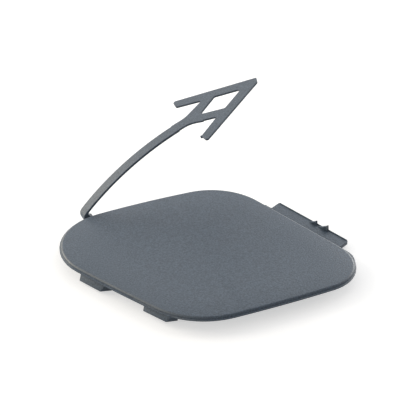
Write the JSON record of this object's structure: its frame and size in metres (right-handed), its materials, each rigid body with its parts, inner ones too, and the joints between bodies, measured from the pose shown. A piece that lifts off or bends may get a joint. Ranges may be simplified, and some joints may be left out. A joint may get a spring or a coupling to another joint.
{
  "type": "bumper tow hook cover",
  "caption": "Moulded cover for a bumper tow eye opening, with a crowned rounded plate, retaining clips, a toothed tongue and a tether strap that ends in a barbed arrow anchor.",
  "frame": {"origin": "middle of the plate, at the crossing of the two middle ribs, on the plane that the rim and the ribs rest on", "axes": "+X along the plate's near side towards the tongue, +Y towards the side that carries the strap, +Z out of the plate's face"},
  "size_m": [0.1058, 0.1028, 0.0502],
  "materials": {
    "plastic": "fine-grained unpainted grey plastic with a satin sheen on the edge fillet"
  },
  "bodies": {
    "root": {"tow_hook_cover": "plastic"}
  },
  "joints": []
}
